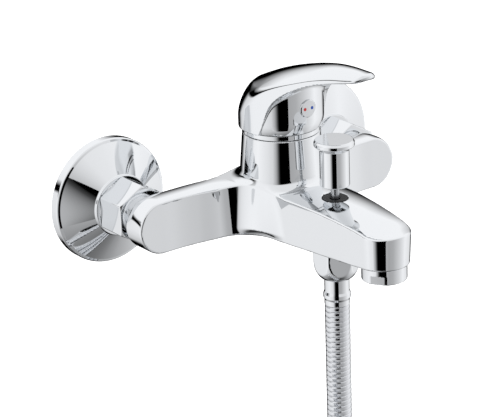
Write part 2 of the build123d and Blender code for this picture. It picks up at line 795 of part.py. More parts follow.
def make_spring(name, y, low, high, coil_radius, turns):
    """Round wire spring between two heights, its turns swept along a helix."""
    height = high - low - 2 * spring_wire_r - 0.1
    with BuildPart() as spring:
        with BuildLine():
            path = Helix(pitch=height / turns, height=height, radius=coil_radius)
        with BuildSketch(Plane(origin=path @ 0, z_dir=path % 0)):
            Circle(spring_wire_r)
        sweep()
    spring.part.position = (0, -y, low + spring_wire_r + 0.05)
    save(spring, name)


make_spring(
    "diverter_spring", diverter_y, piston_z + piston_height, guide_z, diverter_stem_r + 1.6, 4
)

# ---------------------------------------------------------------- shower outlet with check valve
valve_top_z = outlet_end_z + 13.0
with BuildPart() as outlet:
    with BuildSketch(Plane.XY.offset(outlet_end_z)):
        with Locations((0, -diverter_y)):
            Circle(outlet_thread_r)
    extrude(amount=hose_nut_top_z + thread_gap - outlet_end_z)
    with BuildSketch(Plane.XY.offset(outlet_end_z)):
        with Locations((0, -diverter_y)):
            Circle(outlet_top_r)
    extrude(amount=piston_seat_z - outlet_end_z)
    with BuildSketch(Plane.XY.offset(outlet_end_z)):
        with Locations((0, -diverter_y)):
            Circle(valve_bore_r)
    extrude(amount=valve_top_z - outlet_end_z, mode=Mode.SUBTRACT)
    with BuildSketch(Plane.XY.offset(outlet_end_z)):
        with Locations((0, -diverter_y)):
            Circle(chamber_r - 1.8)
    extrude(amount=piston_seat_z - outlet_end_z + 1, mode=Mode.SUBTRACT)
save(outlet, "shower_outlet")

cage_r = valve_bore_r - running_gap
cage_height = 12.6
cage_top_z = valve_top_z - 0.1
seat_hole_r = 3.8
poppet_r = 4.9
poppet_z = cage_top_z - 1.6
with BuildPart() as cage:
    with BuildSketch(Plane.XY.offset(cage_top_z - cage_height)):
        with Locations((0, -diverter_y)):
            Circle(cage_r)
    extrude(amount=cage_height)
    with BuildSketch(Plane.XY.offset(cage_top_z - cage_height)):
        with Locations((0, -diverter_y)):
            Circle(cage_r - 1.2)
    extrude(amount=cage_height - 1.5, mode=Mode.SUBTRACT)
    with BuildSketch(Plane.XY.offset(cage_top_z - 2)):
        with Locations((0, -diverter_y)):
            Circle(seat_hole_r)
    extrude(amount=3, mode=Mode.SUBTRACT)
    # three-armed spider that guides the poppet's stem
    with BuildSketch(Plane.XY.offset(cage_top_z - cage_height)):
        with Locations((0, -diverter_y)):
            Circle(2.2)
            Rectangle(2 * cage_r - 1.2, 1.4)
            Rectangle(1.4, 2 * cage_r - 1.2)
    extrude(amount=2)
    with BuildSketch(Plane.XY.offset(cage_top_z - cage_height)):
        with Locations((0, -diverter_y)):
            Circle(1.2 + running_gap)
    extrude(amount=2, mode=Mode.SUBTRACT)
save(cage, "check_valve_cage")

with BuildPart() as poppet:
    with BuildSketch(Plane.XY.offset(poppet_z - 1.5)):
        with Locations((0, -diverter_y)):
            Circle(poppet_r)
    extrude(amount=1.5)
    with BuildSketch(Plane.XY.offset(cage_top_z - cage_height + valve_travel)):
        with Locations((0, -diverter_y)):
            Circle(1.2)
    extrude(amount=poppet_z - 1 - cage_top_z + cage_height - valve_travel)
save(poppet, "check_valve_poppet")

make_spring(
    "check_valve_spring", diverter_y, cage_top_z - cage_height + 2, poppet_z - 1.5, 1.9, 5
)

# ---------------------------------------------------------------- hose connection
hose_washer_z = outlet_end_z - hose_washer_height
ferrule_top_z = hose_washer_z
nut_shoulder_z = ferrule_top_z - ferrule_flange - thread_gap

with BuildPart() as hose_nut:
    with BuildSketch(Plane.XZ):
        with BuildLine():
            dome_start = (hose_nut_end_r, hose_nut_bottom_z)
            dome_end = (hose_nut_corner_r, hose_nut_bottom_z + hose_nut_dome)
            Polyline((0, hose_nut_top_z), (0, hose_nut_bottom_z), dome_start)
            ThreePointArc(
                dome_start,
                (hose_nut_corner_r - 1.3, hose_nut_bottom_z + 0.44 * hose_nut_dome),
                dome_end,
            )
            Polyline(dome_end, (hose_nut_corner_r, hose_nut_top_z), (0, hose_nut_top_z))
        make_face()
    revolve(axis=Axis.Z)
    with BuildSketch(Plane.XY.offset(hose_nut_bottom_z)):
        RegularPolygon(hose_nut_across_flats / 2, 6, major_radius=False, rotation=30)
    extrude(amount=hose_nut_top_z - hose_nut_bottom_z, mode=Mode.INTERSECT)
    with BuildSketch(Plane.XY.offset(nut_shoulder_z)):
        Circle(outlet_thread_r + thread_gap)
    extrude(amount=hose_nut_top_z - nut_shoulder_z, mode=Mode.SUBTRACT)
    with BuildSketch(Plane.XY.offset(hose_nut_bottom_z)):
        Circle(ferrule_r + thread_gap)
    extrude(amount=hose_nut_top_z - hose_nut_bottom_z, mode=Mode.SUBTRACT)
hose_nut.part.position = (0, -diverter_y, 0)
save(hose_nut, "hose_nut")

with BuildPart() as hose_washer:
    with BuildSketch(Plane.XY.offset(hose_washer_z)):
        with Locations((0, -diverter_y)):
            Circle(ferrule_flange_r - 0.2)
            Circle(hose_bore_r + 1.2, mode=Mode.SUBTRACT)
    extrude(amount=hose_washer_height)
save(hose_washer, "hose_washer")

with BuildPart() as ferrule:
    with BuildSketch(Plane.XZ):
        with BuildLine():
            Polyline(
                (hose_bore_r, ferrule_end_z),
                (hose_bore_r, ferrule_top_z),
                (ferrule_flange_r, ferrule_top_z),
                (ferrule_flange_r, ferrule_top_z - ferrule_flange),
                (ferrule_r, ferrule_top_z - ferrule_flange),
                (ferrule_r, ferrule_end_z + 8.0),
            )
            ThreePointArc(
                (ferrule_r, ferrule_end_z + 8.0),
                (ferrule_bead_r, ferrule_end_z + 5.6),
                (ferrule_r + 0.2, ferrule_end_z + 3.2),
            )
            Polyline(
                (ferrule_r + 0.2, ferrule_end_z + 3.2),
                (ferrule_r + 0.2, ferrule_end_z),
                (hose_bore_r, ferrule_end_z),
            )
        make_face()
    revolve(axis=Axis.Z)
ferrule.part.position = (0, -diverter_y, 0)
save(ferrule, "hose_ferrule")

# straight stretch of the hose, hanging plumb from its ferrule down to the coil's side
with BuildPart() as hose_tube:
    with BuildSketch(Plane.XY.offset(coil_z)):
        with Locations((0, -diverter_y)):
            Circle(hose_r)
    extrude(amount=ferrule_end_z - coil_z)
save(hose_tube, "hose_tube")

coil_back_y = -diverter_y + hose_r + 0.2
with BuildPart() as hose_coil:
    with BuildSketch(Plane.XY.offset(coil_z)):
        with Locations((coil_x + coil_r, coil_back_y - coil_width / 2)):
            RectangleRounded(2 * hose_r + 0.4, coil_width, hose_r - 0.5)
    revolve(axis=Axis((coil_x, 0, coil_z), (0, 1, 0)))
save(hose_coil, "hose_coil")

tie_out_r = coil_r + hose_r + 0.2 + tie_gap
tie_in_r = coil_r - hose_r - 0.2 - tie_gap
tie_back_y = coil_back_y + tie_gap
tie_span = coil_width + 2 * tie_gap
with BuildPart() as tie:
    with BuildSketch(Plane.YZ.offset(coil_x - tie_width / 2)):
        with Locations((tie_back_y - tie_span / 2, coil_z + coil_r)):
            RectangleRounded(tie_span + 2 * tie_thickness, tie_out_r - tie_in_r + 2 * tie_thickness, 5)
            RectangleRounded(tie_span, tie_out_r - tie_in_r, 4, mode=Mode.SUBTRACT)
    extrude(amount=tie_width)
save(tie, "hose_tie")

# the far end lies on the coil's last lane and leaves it along the tangent
end_angle = radians((coil_turns - int(coil_turns)) * 360)
end_y = -diverter_y - 2 * coil_turn_pitch - end_lane_offset
end_point = (coil_x + coil_r * cos(end_angle), end_y, coil_z - coil_r * sin(end_angle))
end_heading = (-sin(end_angle), 0, -cos(end_angle))
end_plane = Plane(origin=end_point, x_dir=(0, 1, 0), z_dir=end_heading)
with BuildPart() as end_nut:
    with BuildSketch(end_plane):
        Circle(end_nut_hose_r)
    with BuildSketch(end_plane.offset(end_nut_length)):
        Circle(end_nut_r)
    loft()
    with BuildSketch(end_plane.offset(end_nut_length - end_thread_depth)):
        Circle(end_thread_r)
    extrude(amount=end_thread_depth, mode=Mode.SUBTRACT)
    # undercut behind the thread, where the washer stays when the nut is off
    with BuildSketch(end_plane.offset(end_nut_length - end_thread_depth - hose_washer_height)):
        Circle(end_thread_r + 0.4)
    extrude(amount=hose_washer_height, mode=Mode.SUBTRACT)
    with BuildSketch(end_plane):
        Circle(hose_bore_r)
    extrude(amount=end_nut_length, mode=Mode.SUBTRACT)
save(end_nut, "hose_end_nut")

with BuildPart() as end_washer:
    with BuildSketch(end_plane.offset(end_nut_length - end_thread_depth - hose_washer_height)):
        Circle(end_thread_r + 0.3)
        Circle(hose_bore_r + 1.2, mode=Mode.SUBTRACT)
    extrude(amount=hose_washer_height)
save(end_washer, "hose_end_washer")

# ---------------------------------------------------------------- aerator
aerator_top_z = spout_bottom_end_z - 0.1
insert_r = aerator_bore_r - running_gap
insert_top_z = aerator_top_z + aerator_thread_length
insert_bottom_z = aerator_bottom_z + aerator_lip
with BuildPart() as aerator:
    with BuildSketch(Plane.XY.offset(aerator_bottom_z)):
        Circle(aerator_r)
    extrude(amount=aerator_top_z - aerator_bottom_z)
    with BuildSketch(Plane.XY.offset(aerator_bottom_z)):
        Circle(aerator_thread_r)
    extrude(amount=aerator_top_z + aerator_thread_length - aerator_bottom_z)
    with BuildSketch(Plane.XY.offset(aerator_bottom_z)):
        Circle(aerator_bore_r - aerator_lip)
    extrude(amount=aerator_lip, mode=Mode.SUBTRACT)
    with BuildSketch(Plane.XY.offset(aerator_bottom_z + aerator_lip)):
        Circle(aerator_bore_r)
    extrude(amount=insert_top_z - insert_bottom_z, mode=Mode.SUBTRACT)
    # two flats for the wrench
    with BuildSketch(Plane.XY.offset(aerator_bottom_z)):
        with PolarLocations(aerator_r, 2, start_angle=aerator_flat_turn):
            Rectangle(2 * aerator_flat_depth, 2 * aerator_r)
    extrude(amount=aerator_flat_height, mode=Mode.SUBTRACT)
aerator.part.position = (0, -spout_end_y, 0)
save(aerator, "aerator_housing")

with BuildPart() as insert:
    with BuildSketch(Plane.XY.offset(insert_bottom_z)):
        with Locations((0, -spout_end_y)):
            Circle(insert_r)
            Circle(insert_r - 1.0, mode=Mode.SUBTRACT)
    extrude(amount=insert_top_z - insert_bottom_z)
    with BuildSketch(Plane.XY.offset(insert_bottom_z)):
        with Locations((0, -spout_end_y)):
            Circle(insert_r - 0.5)
            with GridLocations(2.6, 2.6, 6, 6):
                Rectangle(1.7, 1.7, mode=Mode.SUBTRACT)
    extrude(amount=2.0)
    with BuildSketch(Plane.XY.offset(insert_top_z - 2.0)):
        with Locations((0, -spout_end_y)):
            Circle(insert_r - 0.5)
            with PolarLocations(5.2, 12):
                Circle(0.7, mode=Mode.SUBTRACT)
    extrude(amount=1.6)
save(insert, "aerator_insert")

with BuildPart() as aerator_washer:
    with BuildSketch(Plane.XY.offset(insert_top_z)):
        with Locations((0, -spout_end_y)):
            Circle(aerator_thread_r)
            Circle(insert_r - 1.5, mode=Mode.SUBTRACT)
    extrude(amount=washer_height)
save(aerator_washer, "aerator_washer")

straight = ferrule_end_z - coil_z
wound = radians(360 * coil_turns) * coil_r
print("hose length", round(straight + wound), "of it straight", round(straight))
print("hose end", end_point, end_heading)
print("disc travel per radian", round(pivot_z - ball_z, 3), "at most", round(carrier_travel, 3))
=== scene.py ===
# %% [markdown]
# # Wall mounted bath faucet
#
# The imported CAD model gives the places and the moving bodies. This script builds the polished
# surfaces that are seen: every outer piece is made again as one smooth skin, the hose as a wound
# metal strip, and all of it is set in a plain light studio. Lengths are written in millimetres and
# become metres in one place, where a mesh is made.

import json
import math

import bpy
import numpy as np
from mathutils import Matrix


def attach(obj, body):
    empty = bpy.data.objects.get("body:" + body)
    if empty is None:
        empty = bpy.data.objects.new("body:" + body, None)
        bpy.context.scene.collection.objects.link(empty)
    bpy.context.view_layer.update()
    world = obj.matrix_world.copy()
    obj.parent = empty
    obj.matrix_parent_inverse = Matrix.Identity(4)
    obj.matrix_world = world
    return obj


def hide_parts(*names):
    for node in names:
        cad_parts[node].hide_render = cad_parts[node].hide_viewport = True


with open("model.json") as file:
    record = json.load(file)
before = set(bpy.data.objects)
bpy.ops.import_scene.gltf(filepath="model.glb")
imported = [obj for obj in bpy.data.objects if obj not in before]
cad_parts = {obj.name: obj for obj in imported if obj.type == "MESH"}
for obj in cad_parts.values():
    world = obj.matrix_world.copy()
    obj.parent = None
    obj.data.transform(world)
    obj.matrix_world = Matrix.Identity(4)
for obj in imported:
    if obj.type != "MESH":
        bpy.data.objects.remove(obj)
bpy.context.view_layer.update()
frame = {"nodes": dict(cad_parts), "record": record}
MM = 0.001

# %% [markdown]
# ## Places that the pieces share
#
# The faucet's frame sits in the wall's plane, midway between the two inlets, with the bather on the
# -Y side. The tower, the diverter and the spout's end each have an upright axis at x = 0.

# %% Places
INLET_X = 75.0
TOWER_Y = -66.0
DIVERTER_Y = -111.5
SPOUT_END_Y = -151.6
PIVOT_Z = 30.0
BAR_Z = -1.8
DOME_R = 25.006
CAVITY_R = 25.406
UP = (0.0, 0.0, 1.0)
OUT = (0.0, -1.0, 0.0)


# %% [markdown]
# ## From numbers to meshes
#
# A mesh piece takes an array of points and an array of four-sided faces, both made by numpy in one
# go. Where a skin's exact normals are known they are stored with it, so that a mirror finish shows no
# facets.

# %% Mesh from arrays
def mesh_piece(name, points, faces, normals=None):
    """A mesh object from points (n by 3, mm) and faces (m by 4 point numbers), shaded smooth."""
    mesh = bpy.data.meshes.new(name)
    mesh.vertices.add(len(points))
    mesh.vertices.foreach_set("co", (np.asarray(points) * MM).astype(np.float32).ravel())
    mesh.loops.add(faces.size)
    mesh.loops.foreach_set("vertex_index", faces.astype(np.int32).ravel())
    mesh.polygons.add(len(faces))
    mesh.polygons.foreach_set("loop_start", np.arange(0, faces.size, 4, dtype=np.int32))
    mesh.update(calc_edges=True)
    mesh.validate()
    mesh.shade_smooth()
    if normals is not None:
        mesh.normals_split_custom_set_from_vertices(normals)
    piece = bpy.data.objects.new(name, mesh)
    bpy.context.scene.collection.objects.link(piece)
    print(f"{name}: {len(points)} points, {len(faces)} faces")
    return piece


def grid_faces(rows, columns, closed_rows=False):
    """Faces of a grid of points that closes around its columns, and around its rows if asked."""
    last = rows if closed_rows else rows - 1
    r, c = np.meshgrid(np.arange(last), np.arange(columns), indexing="ij")
    r2, c2 = (r + 1) % rows, (c + 1) % columns
    corners = [r * columns + c, r * columns + c2, r2 * columns + c2, r2 * columns + c]
    return np.stack(corners, axis=-1).reshape(-1, 4)


# %% [markdown]
# ## Turned pieces
#
# Most fittings of a faucet are turned on a lathe. Their outline is a list of corners, each with the
# radius that the tool leaves on it. The outline is walked in short steps, so that the light bends only
# on the rounded corners and the faces between them stay true.

# %% Turning
def outline(corners, step=0.8):
    """Points along an open outline whose inner corners are rounded.

    Each corner is (across, along, radius). A rounded corner is an arc that touches both its sides: it
    starts radius / tan(half the angle) before the corner. Straight parts are cut to about one step.
    """
    sharp = np.array([c[:2] for c in corners], float)
    route = [sharp[0]]
    for i in range(1, len(sharp) - 1):
        back = sharp[i - 1] - sharp[i]
        ahead = sharp[i + 1] - sharp[i]
        back_length, ahead_length = np.linalg.norm(back), np.linalg.norm(ahead)
        back, ahead = back / back_length, ahead / ahead_length
        half = math.acos(np.clip(back @ ahead, -1, 1)) / 2
        radius = corners[i][2]
        reach = min(radius / math.tan(half), 0.48 * back_length, 0.48 * ahead_length)
        radius = reach * math.tan(half)
        if radius < 1e-6:
            route.append(sharp[i])
            continue
        middle = back + ahead
        centre = sharp[i] + middle / np.linalg.norm(middle) * math.hypot(radius, reach)
        start, end = sharp[i] + back * reach - centre, sharp[i] + ahead * reach - centre
        a0 = math.atan2(start[1], start[0])
        turn = (math.atan2(end[1], end[0]) - a0 + math.pi) % (2 * math.pi) - math.pi
        count = max(4, int(abs(turn) * 5))
        angles = a0 + np.linspace(0, 1, count + 1) * turn
        route.extend(centre + radius * np.stack([np.cos(angles), np.sin(angles)], axis=1))
    route.append(sharp[-1])
    route = np.array(route)
    fine = [route[:1]]
    for a, b in zip(route[:-1], route[1:]):
        length = np.linalg.norm(b - a)
        if length < 1e-6:
            continue
        edge = min(0.12 / length, 0.3)
        inner = np.linspace(edge, 1 - edge, max(2, int(length / step)))
        parts = np.append(inner, 1.0) if length > 0.5 else np.array([1.0])
        fine.append(a + (b - a) * parts[:, None])
    return np.concatenate(fine)


def turned(name, corners, centre, axis=UP, closed=False, segments=112):
    """A lathe piece: point = centre + along * axis + across * (cos t * side + sin t * other side)."""
    line = outline(corners + [corners[0]] if closed else corners)
    if closed:
        line = line[:-1]
    axis = np.array(axis, float)
    side = np.cross(axis, (0.3, 0.2, 1.0) if abs(axis[2]) < 0.9 else (1.0, 0.0, 0.0))
    side /= np.linalg.norm(side)
    other = np.cross(axis, side)
    t = np.linspace(0, 2 * math.pi, segments, endpoint=False)
    around = np.cos(t)[:, None] * side + np.sin(t)[:, None] * other
    points = np.array(centre, float) + line[:, None, 1:2] * axis + line[:, None, 0:1] * around
    points = points.reshape(-1, 3)
    piece = mesh_piece(name, points, grid_faces(len(line), segments, closed))
    weld(piece)
    return piece


def weld(piece, distance=0.002):
    """Joins points closer than the distance, in mm, and turns every face outwards."""
    import bmesh

    work = bmesh.new()
    work.from_mesh(piece.data)
    bmesh.ops.remove_doubles(work, verts=work.verts, dist=distance * MM)
    bmesh.ops.dissolve_degenerate(work, edges=work.edges, dist=1e-7)
    bmesh.ops.recalc_face_normals(work, faces=work.faces)
    work.to_mesh(piece.data)
    work.free()
    piece.data.shade_smooth()


# %% [markdown]
# ## Cast pieces
#
# A casting flows from one form into the next, which a lathe can't make. Its form is written as a
# field: a number for every point in space, below zero inside the metal and zero on its skin. Two
# fields join or cut each other with a rounded corner of a known radius. The skin is then laid on a
# grid: each cell that the surface crosses gives one point, each grid edge that it crosses gives one
# face, and the points slide down the field's slope until they lie on the skin.

# %% Fields
def joined(a, b, radius):
    """Either of two forms, with a hollow corner of this radius where they meet."""
    inner = np.hypot(np.maximum(radius - a, 0), np.maximum(radius - b, 0))
    return np.maximum(radius, np.minimum(a, b)) - inner


def common(a, b, radius):
    """What two forms share, with an edge of this radius where their faces meet."""
    outer = np.hypot(np.maximum(radius + a, 0), np.maximum(radius + b, 0))
    return np.minimum(-radius, np.maximum(a, b)) + outer


def tapered_slot(x, y, y0, r0, y1, r1):
    """Distance in plan to two round ends (y0, r0) and (y1, r1) on x = 0 with tangent sides."""
    length = y0 - y1
    lean = (r0 - r1) / length
    rise = math.sqrt(1 - lean * lean)
    along, across = y0 - y, np.abs(x)
    k = along * rise - across * lean
    side = across * rise + along * lean - r0
    near = np.hypot(along, across) - r0
    far = np.hypot(along - length, across) - r1
    return np.where(k < 0, near, np.where(k > length * rise, far, side))


def through(points, value):
    """A smooth curve through (place, height) points: cubic pieces whose slopes are the mean of the
    slopes on either side."""
    place, height = np.array(points, float).T
    slope = np.gradient(height, place)
    i = np.clip(np.searchsorted(place, value) - 1, 0, len(place) - 2)
    span = place[i + 1] - place[i]
    t = np.clip((value - place[i]) / span, 0, 1)
    first = height[i] * (1 + 2 * t) * (1 - t) ** 2 + height[i + 1] * t * t * (3 - 2 * t)
    second = span * (slope[i] * t * (1 - t) ** 2 - slope[i + 1] * t * t * (1 - t))
    return first + second


def slope_of(field, p, h=0.02):
    """The field's value and its slope at points, by small steps both ways along each axis."""
    steps = np.eye(3) * h
    slopes = [field(*(p + s).T) - field(*(p - s).T) for s in steps]
    return field(*p.T), np.stack(slopes, axis=1) / (2 * h)


def settle(field, p, rounds=5):
    """Moves points to the skin: p - value * slope / |slope|^2, a few times."""
    for _ in range(rounds):
        value, slope = slope_of(field, p)
        size = np.maximum((slope**2).sum(axis=1), 0.05)
        p = p - np.clip(value / size, -1.5, 1.5)[:, None] * slope
    return p


def cast(name, field, low, high, step):
    """A skin over field = 0 between two corners, one point to each crossed cell of the grid."""
    axes = [np.arange(a - 1.5 * step, b + 2 * step, step) for a, b in zip(low, high)]
    inside = field(*np.meshgrid(*axes, indexing="ij")) < 0
    count = sum(
        inside[i : i - 1 or None, j : j - 1 or None, k : k - 1 or None].astype(np.int8)
        for i in (0, 1)
        for j in (0, 1)
        for k in (0, 1)
    )
    crossed = (count > 0) & (count < 8)
    number = np.full(count.shape, -1, np.int64)
    number[crossed] = np.arange(crossed.sum())
    cells = np.argwhere(crossed)
    points = np.stack([axes[n][cells[:, n]] + step / 2 for n in range(3)], axis=1)
    faces = []
    for n in range(3):
        here = np.moveaxis(inside, n, 0)
        cell = np.moveaxis(number, n, 0)
        edge = np.argwhere(here[:-1, 1:-1, 1:-1] != here[1:, 1:-1, 1:-1])
        a, b, c = edge.T
        ring = [cell[a, b, c], cell[a, b + 1, c], cell[a, b + 1, c + 1], cell[a, b, c + 1]]
        ring = np.stack(ring, axis=1)
        leaving = here[a, b + 1, c + 1]
        flip = leaving if n != 1 else ~leaving
        ring[~flip] = ring[~flip][:, ::-1]
        faces.append(ring)
    faces = np.concatenate(faces)
    points = settle(field, points)
    for _ in range(3):
        points = settle(field, relaxed(points, faces), 2)
    points = settle(field, points, 2)
    normals = slope_of(field, points)[1]
    normals /= np.linalg.norm(normals, axis=1)[:, None]
    return mesh_piece(name, points, faces, normals)


def relaxed(points, faces):
    """Each point half way to the mean of its neighbours along the faces' edges."""
    a, b = faces.ravel(), np.roll(faces, -1, axis=1).ravel()
    size = len(points)
    share = np.bincount(a, minlength=size) + np.bincount(b, minlength=size)
    total = np.stack(
        [
            np.bincount(a, points[b, n], size) + np.bincount(b, points[a, n], size)
            for n in range(3)
        ],
        axis=1,
    )
    return 0.5 * points + 0.5 * total / np.maximum(share, 1)[:, None]


# %% [markdown]
# ## Finishes
#
# Colours are given as the usual hexadecimal values and turned to linear light in one place. Each
# finish is a procedural material named for what it is and how it was made.

# %% Material helpers
def linear(hex_colour):
    """Linear red, green, blue and alpha of a colour written as #rrggbb."""
    parts = [int(hex_colour[i : i + 2], 16) / 255 for i in (1, 3, 5)]
    return [c / 12.92 if c <= 0.04045 else ((c + 0.055) / 1.055) ** 2.4 for c in parts] + [1.0]


def add(tree, kind, **settings):
    """Adds a shader node, with its settings and the values of its sockets."""
    node = tree.nodes.new(kind)
    for key, value in settings.items():
        if hasattr(node, key):
            setattr(node, key, value)
        else:
            node.inputs[key].default_value = value
    return node


def finish_of(name, colour, **sockets):
    """A material with one principled shader."""
    material = bpy.data.materials.new(name)
    material.use_nodes = True
    shader = material.node_tree.nodes["Principled BSDF"]
    shader.inputs["Base Color"].default_value = linear(colour)
    for key, value in sockets.items():
        shader.inputs[key.replace("_", " ")].default_value = value
    return material


def vary_roughness(material, low, high, size_mm):
    """Roughness that drifts between two values in soft patches of about this size."""
    tree = material.node_tree
    place = add(tree, "ShaderNodeTexCoord")
    noise = add(tree, "ShaderNodeTexNoise", Scale=1 / (size_mm * MM), Detail=3.0)
    spread = add(tree, "ShaderNodeMapRange")
    spread.inputs["To Min"].default_value = low
    spread.inputs["To Max"].default_value = high
    tree.links.new(place.outputs["Object"], noise.inputs["Vector"])
    tree.links.new(noise.outputs["Fac"], spread.inputs["Value"])
    tree.links.new(spread.outputs["Result"], tree.nodes["Principled BSDF"].inputs["Roughness"])
    return material


# %% Finishes
chrome = finish_of("chrome_polished_and_plated", "#e6e8ea", Metallic=1.0, Roughness=0.03)
vary_roughness(chrome, 0.015, 0.05, 14.0)
hose_metal = finish_of("steel_strip_wound_and_polished", "#dfe1e4", Metallic=1.0, Roughness=0.12)
vary_roughness(hose_metal, 0.09, 0.16, 6.0)
steel = finish_of("stainless_steel_drawn", "#b9bbbd", Metallic=1.0, Roughness=0.22)
vary_roughness(steel, 0.16, 0.28, 3.0)
brass = finish_of("brass_machined", "#c9a861", Metallic=1.0, Roughness=0.25)
vary_roughness(brass, 0.2, 0.32, 4.0)
ceramic = finish_of("alumina_ceramic_lapped", "#efeeea", Roughness=0.12)
grey_plastic = finish_of("acetal_plastic_moulded", "#d9d9d5", Roughness=0.4)
black_plastic = finish_of("black_nylon_moulded", "#0a0a0b", Roughness=0.35, Specular_IOR_Level=0.15)
cap_plastic = finish_of("silver_plastic_cap_moulded", "#dcdee0", Metallic=1.0, Roughness=0.12)
red_paint = finish_of("red_enamel_filled", "#c2201c", Roughness=0.3)
blue_paint = finish_of("blue_enamel_filled", "#1d4fae", Roughness=0.3)
rubber = finish_of("black_rubber_moulded", "#141414", Roughness=0.75)
fibre = finish_of("grey_fibre_pressed", "#6d6a66", Roughness=0.9)
tie_plastic = finish_of("white_polyethylene_band", "#ececec", Roughness=0.45)
print("finishes:", len(bpy.data.materials))


# %% [markdown]
# ## Camera
#
# The camera looks from the bather's left and a little above, through a long lens. Its place and its
# three directions are known in the faucet's own frame.

# %% Camera
camera_data = bpy.data.cameras.new("camera")
camera_data.lens = 172.8
camera_data.sensor_width = 36.0
camera_data.clip_end = 50.0
camera = bpy.data.objects.new("camera", camera_data)
bpy.context.scene.collection.objects.link(camera)
RIGHT = (0.79004, -0.61223, -0.03172)
ABOVE = (0.24505, 0.26795, 0.93175)
BEHIND = (-0.56195, -0.74389, 0.36171)
EYE = (-0.767226, -1.050442, 0.477449)
camera.matrix_world = Matrix([[*row, e] for *row, e in zip(RIGHT, ABOVE, BEHIND, EYE)] + [[0, 0, 0, 1]])
bpy.context.scene.camera = camera


# %% [markdown]
# ## Placing a piece
#
# Each new piece rides the body it belongs to, takes the finish it is given, and stands for the named
# CAD node, which it hides.

# %% Fit a piece to its body
body_of_node = {n: b for b, ns in frame["record"]["behaviour"]["bodies"].items() for n in ns}
slot_of_node = {s["node"]: s["material_slot"] for s in frame["record"]["subparts"]}


def fit(piece, node, material, *more_nodes):
    """Gives a piece its finish and puts it in the place of a CAD node, and of more of them if named."""
    piece.data.materials.clear()
    piece.data.materials.append(material)
    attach(piece, body_of_node[node])
    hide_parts(node, *more_nodes)
    return piece


# %% [markdown]
# ## The hose
#
# The hose hangs plumb from its ferrule and is wound into a loose coil on the floor side. Its
# route is a spline, and its outside is one long ridge: a metal strip wound at a small pitch, so the
# radius rises and falls once for every turn of the strip.

# %% Hose route
HOSE_R = 7.0
STRIP_PITCH = 3.0
COIL_R = 70.0
COIL_Z = -189.0
TURN_PITCH = 14.4
END_LANE = 7.8
TURNS = 2.53
PER_TURN = 24
HOSE_TOP_Z = -50.0


def lane(turn):
    """How far towards the bather the coil has stepped after this many turns."""
    return turn * (2 * TURN_PITCH + END_LANE) / TURNS


route = [(0.0, DIVERTER_Y, HOSE_TOP_Z), (0.0, DIVERTER_Y, COIL_Z + 20)]
reach = COIL_R / math.cos(math.pi / PER_TURN)
for n in range(1, int(TURNS * PER_TURN) + 1):
    angle = 2 * math.pi * (n - 0.5) / PER_TURN
    y = DIVERTER_Y - lane((n - 0.5) / PER_TURN)
    route.append((-COIL_R + reach * math.cos(angle), y, COIL_Z - reach * math.sin(angle)))
final = 2 * math.pi * (TURNS - int(TURNS))
route.append(
    (-COIL_R + COIL_R * math.cos(final), DIVERTER_Y - lane(TURNS), COIL_Z - COIL_R * math.sin(final))
)

curve = bpy.data.curves.new("hose_route", "CURVE")
curve.dimensions = "3D"
curve.resolution_u = 24
spline = curve.splines.new("NURBS")
spline.points.add(len(route) - 1)
spline.points.foreach_set("co", [v for p in route for v in (p[0] * MM, p[1] * MM, p[2] * MM, 1.0)])
spline.order_u = 3
spline.use_endpoint_u = True
guide = bpy.data.objects.new("hose_route", curve)
bpy.context.scene.collection.objects.link(guide)
bpy.context.view_layer.update()
line_mesh = bpy.data.meshes.new_from_object(guide)
line = np.zeros(len(line_mesh.vertices) * 3, np.float32)
line_mesh.vertices.foreach_get("co", line)
line = line.reshape(-1, 3).astype(float) / MM
bpy.data.objects.remove(guide)
bpy.data.meshes.remove(line_mesh)
walked = np.concatenate([[0], np.cumsum(np.linalg.norm(np.diff(line, axis=0), axis=1))])
HOSE_LENGTH = walked[-1]
print("hose:", round(HOSE_LENGTH), "mm along", len(line), "route points")


# %% Hose skin
def hose_skin():
    """A tube along the route with a wound ridge: broad flat strip, narrow groove.

    Every row of points is itself a helix: its distance along the hose is
    pitch * (turn + share + t / (2 pi)), and its radius depends on the share only. After one trip
    around, a row goes on as the same row of the next turn.
    """
    around = 24
    share = np.array([0.0, 0.05, 0.11, 0.3, 0.5, 0.7, 0.89, 0.95])
    sunk = np.array([0.62, 0.22, 0.06, 0.01, 0.0, 0.01, 0.06, 0.22])
    turns = int(HOSE_LENGTH / STRIP_PITCH) + 2
    rows = turns * len(share)
    t = np.linspace(0, 2 * math.pi, around, endpoint=False)
    start = (np.arange(-1, turns - 1)[:, None] + share[None]).reshape(-1, 1)
    s = np.clip(STRIP_PITCH * (start + t[None] / (2 * math.pi)), 0, HOSE_LENGTH).ravel()
    centre = np.stack([np.interp(s, walked, line[:, n]) for n in range(3)], axis=1)
    tangents = np.gradient(line, walked, axis=0)
    ahead = np.stack([np.interp(s, walked, tangents[:, n]) for n in range(3)], axis=1)
    ahead /= np.linalg.norm(ahead, axis=1)[:, None]
    front = np.array([[0.0, -1.0, 0.0]]) + ahead * ahead[:, 1:2]
    front /= np.linalg.norm(front, axis=1)[:, None]
    side = np.cross(ahead, front)
    angle = np.tile(t, rows)[:, None]
    radius = np.repeat(HOSE_R - np.tile(sunk, turns), around)[:, None]
    points = centre + radius * (np.cos(angle) * front + np.sin(angle) * side)
    r, c = np.meshgrid(np.arange(rows - 1 - len(share)), np.arange(around), indexing="ij")
    wrapped = np.where(c == around - 1, len(share), 0)
    here, beside = r * around + c, (r + wrapped) * around + (c + 1) % around
    faces = np.stack([here, here + around, beside + around, beside], axis=-1).reshape(-1, 4)
    piece = mesh_piece("shower_hose", points, faces)
    weld(piece)
    return piece


hose = hose_skin()
fit(hose, "hose_tube", hose_metal, "hose_coil")


# %% [markdown]
# ## Wall side
#
# Each side has a crank union, a pressed escutcheon over it and the union nut that draws the body up.

